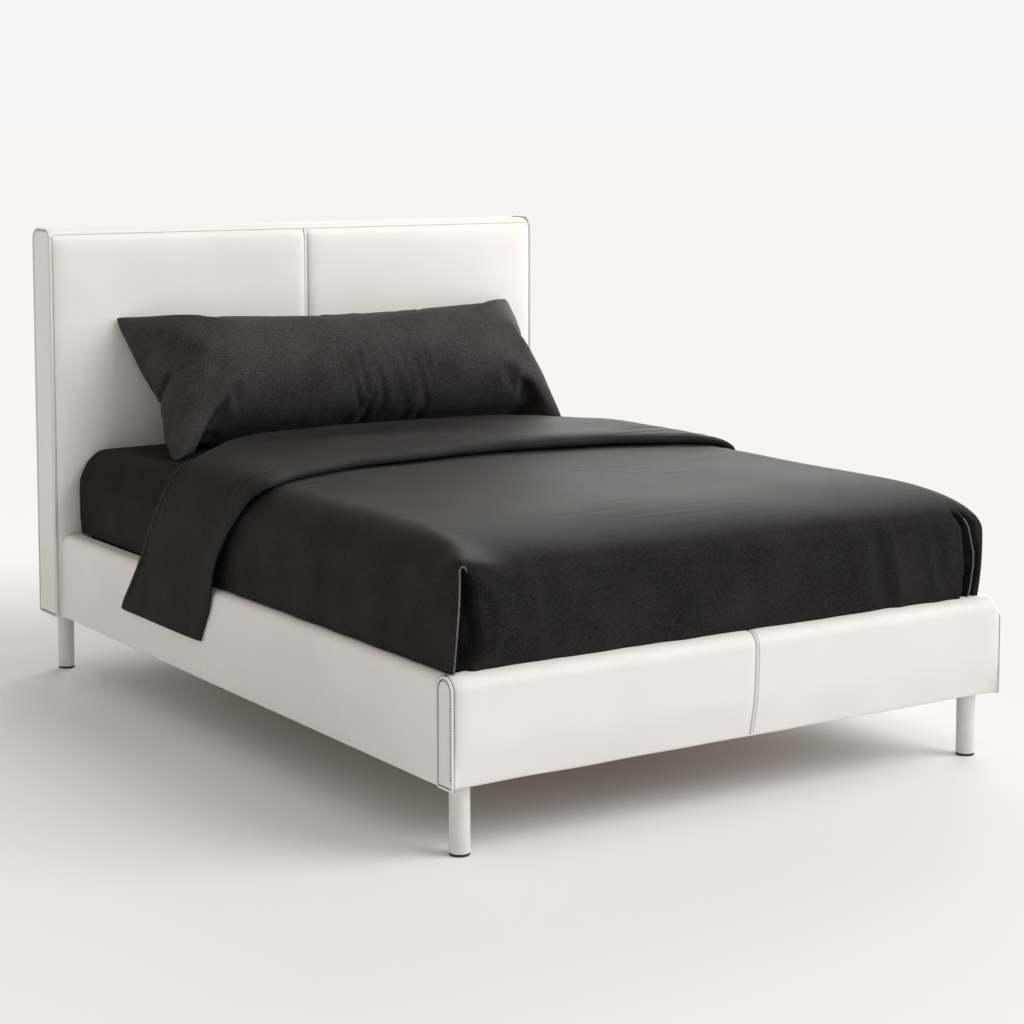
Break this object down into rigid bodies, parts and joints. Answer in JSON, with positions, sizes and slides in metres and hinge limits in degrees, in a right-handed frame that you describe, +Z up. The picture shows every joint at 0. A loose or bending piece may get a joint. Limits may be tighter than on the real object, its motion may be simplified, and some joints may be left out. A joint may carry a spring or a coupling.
{
  "type": "upholstered double bed",
  "caption": "Double bed with a padded leather headboard, rails and low footboard on round legs, with slats, mattress, turned-back duvet and one long pillow.",
  "frame": {"origin": "on the floor under the middle of the bed, which is the bottom centre of its bounding box", "axes": "+X to the right as seen from the foot of the bed, +Y towards the headboard, +Z up"},
  "size_m": [1.584, 2.19, 1.231],
  "materials": {
    "leather": "satin",
    "timber": "matte",
    "beech": "satin",
    "foam": "matte",
    "steel": "satin",
    "painted_steel": "satin",
    "nylon": "matte",
    "lining": "matte",
    "ticking": "matte",
    "sheet_cotton": "matte",
    "bedding_cotton": "matte"
  },
  "bodies": {
    "root": {"beam_stirrup_front": "steel", "beam_stirrup_rear": "steel", "centre_beam": "timber", "corner_bracket_front_left": "steel", "corner_bracket_front_right": "steel", "corner_bracket_rear_left": "steel", "corner_bracket_rear_right": "steel", "footboard_board": "timber", "footboard_cover": "leather", "footboard_end_cap_left": "leather", "footboard_end_cap_right": "leather", "footboard_foam": "foam", "headboard_back_panel": "lining", "headboard_cover_left": "leather", "headboard_cover_right": "leather", "headboard_end_cap_left": "leather", "headboard_end_cap_right": "leather", "headboard_foam_left": "foam", "headboard_foam_right": "foam", "headboard_frame": "timber", "headboard_seam_welt": "leather", "headboard_top_strip": "leather", "leg_foot_front_left": "nylon", "leg_foot_front_right": "nylon", "leg_foot_rear_left": "nylon", "leg_foot_rear_right": "nylon", "leg_front_left": "painted_steel", "leg_front_right": "painted_steel", "leg_rear_left": "painted_steel", "leg_rear_right": "painted_steel", "rail_cover_left": "leather", "rail_cover_right": "leather", "rail_foam_left": "foam", "rail_foam_right": "foam", "side_rail_left": "timber", "side_rail_right": "timber", "slat_01": "beech", "slat_02": "beech", "slat_03": "beech", "slat_04": "beech", "slat_05": "beech", "slat_06": "beech", "slat_07": "beech", "slat_08": "beech", "slat_09": "beech", "slat_10": "beech", "slat_11": "beech", "slat_12": "beech", "slat_ledge_left": "timber", "slat_ledge_right": "timber", "support_leg_front": "steel", "support_leg_rear": "steel"},
    "mattress": {"mattress": "ticking", "fitted_sheet": "sheet_cotton"},
    "duvet": {"duvet": "bedding_cotton"},
    "pillow": {"pillow": "bedding_cotton"},
    "support_foot_front": {"support_foot_front": "nylon"},
    "support_foot_rear": {"support_foot_rear": "nylon"}
  },
  "joints": [
    {"name": "mattress_lift", "type": "slide", "parent": "root", "child": "mattress", "axis": [0, 0, 1], "range_m": [0, 0.3]},
    {"name": "duvet_lift", "type": "slide", "parent": "mattress", "child": "duvet", "axis": [0, 0, 1], "range_m": [0, 0.4]},
    {"name": "pillow_lift", "type": "slide", "parent": "mattress", "child": "pillow", "axis": [0, 0, 1], "range_m": [0, 0.35]},
    {"name": "support_foot_front_level", "type": "slide", "parent": "root", "child": "support_foot_front", "axis": [0, 0, -1], "range_m": [0, 0.012]},
    {"name": "support_foot_rear_level", "type": "slide", "parent": "root", "child": "support_foot_rear", "axis": [0, 0, -1], "range_m": [0, 0.012]}
  ]
}
